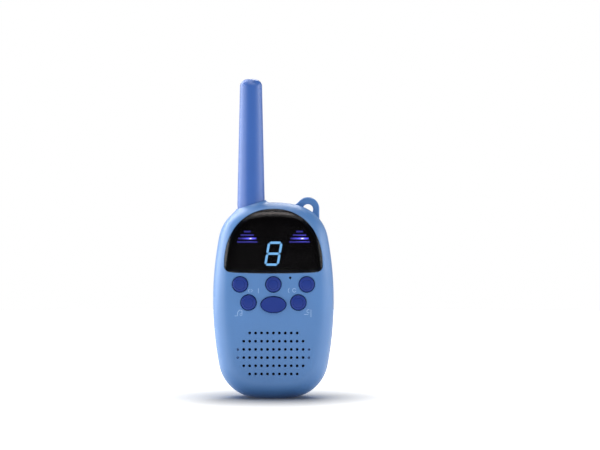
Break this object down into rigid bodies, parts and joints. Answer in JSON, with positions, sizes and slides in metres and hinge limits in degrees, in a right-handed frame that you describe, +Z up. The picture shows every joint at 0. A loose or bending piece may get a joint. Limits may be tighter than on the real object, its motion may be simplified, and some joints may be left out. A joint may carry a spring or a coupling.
{
  "type": "toy walkie talkie",
  "caption": "Hand-held toy walkie talkie with a smoked display window, push buttons, speaker grille, fixed stub antenna, lanyard eye and a swinging battery door.",
  "frame": {"origin": "centre of the overall box in plan, on the flat foot under the casing", "axes": "+Z up along the antenna, +X to the right of the face, the face looks along -Y"},
  "size_m": [0.06, 0.0292, 0.1582],
  "materials": {
    "blue_shell": "satin moulded plastic with a fine sheen",
    "button_blue": "satin, darker than the shells",
    "smoked_lens": "smoked, polished",
    "black_plastic": "black moulding",
    "lit_digit": "lit from behind",
    "lit_bars": "lit from behind",
    "led_body": "moulded resin",
    "grey_silicone": "soft moulding",
    "green_board": "solder mask",
    "gold_pad": "plated",
    "tinned_steel": "tinned",
    "black_resin": "moulded resin",
    "capacitor_sleeve": "printed sleeve, plain",
    "microphone_can": "drawn",
    "black_rubber": "soft moulding",
    "speaker_steel": "pressed, zinc plated",
    "ferrite": "sintered",
    "cone_paper": "pressed film",
    "black_foam": "closed-cell foam",
    "terminal_board": "laminate",
    "black_cloth": "woven",
    "copper_wire": "enamelled copper",
    "white_nylon": "moulded",
    "brass_contact": "turned",
    "cell_jacket": "printed jacket, plain",
    "nickel_plate": "nickel plated spring steel",
    "screw_zinc": "zinc plated",
    "wire_red": "PVC insulation",
    "wire_black": "PVC insulation",
    "wire_white": "PVC insulation"
  },
  "bodies": {
    "handset": {"front_cover": "blue_shell", "rear_cover": "blue_shell", "antenna_sleeve": "blue_shell", "antenna_coil": "copper_wire", "antenna_core": "white_nylon", "antenna_contact": "brass_contact", "window_lens": "smoked_lens", "display_frame": "black_plastic", "digit_module": "black_plastic", "digit_segments": "lit_digit", "eye_diffuser_left": "lit_bars", "eye_diffuser_right": "lit_bars", "eye_leds": "led_body", "keypad_mat": "grey_silicone", "key_domes": "grey_silicone", "main_board": "green_board", "contact_pads": "gold_pad", "shield_can": "tinned_steel", "board_chips": "black_resin", "capacitors": "capacitor_sleeve", "crystal": "tinned_steel", "microphone": "microphone_can", "microphone_boot": "black_rubber", "speaker_frame": "speaker_steel", "speaker_yoke": "speaker_steel", "speaker_magnet": "ferrite", "speaker_surround": "black_rubber", "speaker_gasket": "black_foam", "speaker_terminals": "terminal_board", "dust_screen": "black_cloth", "battery_cell_left": "cell_jacket", "battery_cell_middle": "cell_jacket", "battery_cell_right": "cell_jacket", "battery_springs": "nickel_plate", "battery_plates": "nickel_plate", "case_screws": "screw_zinc", "board_screws": "screw_zinc", "speaker_screws": "screw_zinc", "speaker_wire_red": "wire_red", "speaker_wire_black": "wire_black", "battery_wire_red": "wire_red", "battery_wire_black": "wire_black", "antenna_wire": "wire_white"},
    "upper_left_button_body": {"upper_left_button": "button_blue"},
    "upper_middle_button_body": {"upper_middle_button": "button_blue"},
    "upper_right_button_body": {"upper_right_button": "button_blue"},
    "lower_left_button_body": {"lower_left_button": "button_blue"},
    "lower_right_button_body": {"lower_right_button": "button_blue"},
    "talk_button_body": {"talk_button": "button_blue"},
    "battery_door_body": {"battery_door": "blue_shell"},
    "speaker_cone_body": {"speaker_cone": "cone_paper", "voice_coil": "copper_wire"}
  },
  "joints": [
    {"name": "upper_left_button_press", "type": "slide", "parent": "handset", "child": "upper_left_button_body", "axis": [0, 1, 0], "range_m": [0, 0.001], "stiffness_N_per_m": 800, "springref_m": -0.0003, "deforming": ["key_domes"]},
    {"name": "upper_middle_button_press", "type": "slide", "parent": "handset", "child": "upper_middle_button_body", "axis": [0, 1, 0], "range_m": [0, 0.001], "stiffness_N_per_m": 800, "springref_m": -0.0003, "deforming": ["key_domes"]},
    {"name": "upper_right_button_press", "type": "slide", "parent": "handset", "child": "upper_right_button_body", "axis": [0, 1, 0], "range_m": [0, 0.001], "stiffness_N_per_m": 800, "springref_m": -0.0003, "deforming": ["key_domes"]},
    {"name": "lower_left_button_press", "type": "slide", "parent": "handset", "child": "lower_left_button_body", "axis": [0, 1, 0], "range_m": [0, 0.001], "stiffness_N_per_m": 800, "springref_m": -0.0003, "deforming": ["key_domes"]},
    {"name": "lower_right_button_press", "type": "slide", "parent": "handset", "child": "lower_right_button_body", "axis": [0, 1, 0], "range_m": [0, 0.001], "stiffness_N_per_m": 800, "springref_m": -0.0003, "deforming": ["key_domes"]},
    {"name": "talk_button_press", "type": "slide", "parent": "handset", "child": "talk_button_body", "axis": [0, 1, 0], "range_m": [0, 0.001], "stiffness_N_per_m": 800, "springref_m": -0.0003, "deforming": ["key_domes"]},
    {"name": "battery_door_swing", "type": "hinge", "parent": "handset", "child": "battery_door_body", "pos_m": [0, 0.0146, 0.0615], "axis": [1, 0, 0], "range_deg": [0, 60]},
    {"name": "speaker_cone_travel", "type": "slide", "parent": "handset", "child": "speaker_cone_body", "axis": [0, 1, 0], "range_m": [-0.0003, 0.0003], "stiffness_N_per_m": 500, "deforming": ["speaker_surround"]}
  ]
}
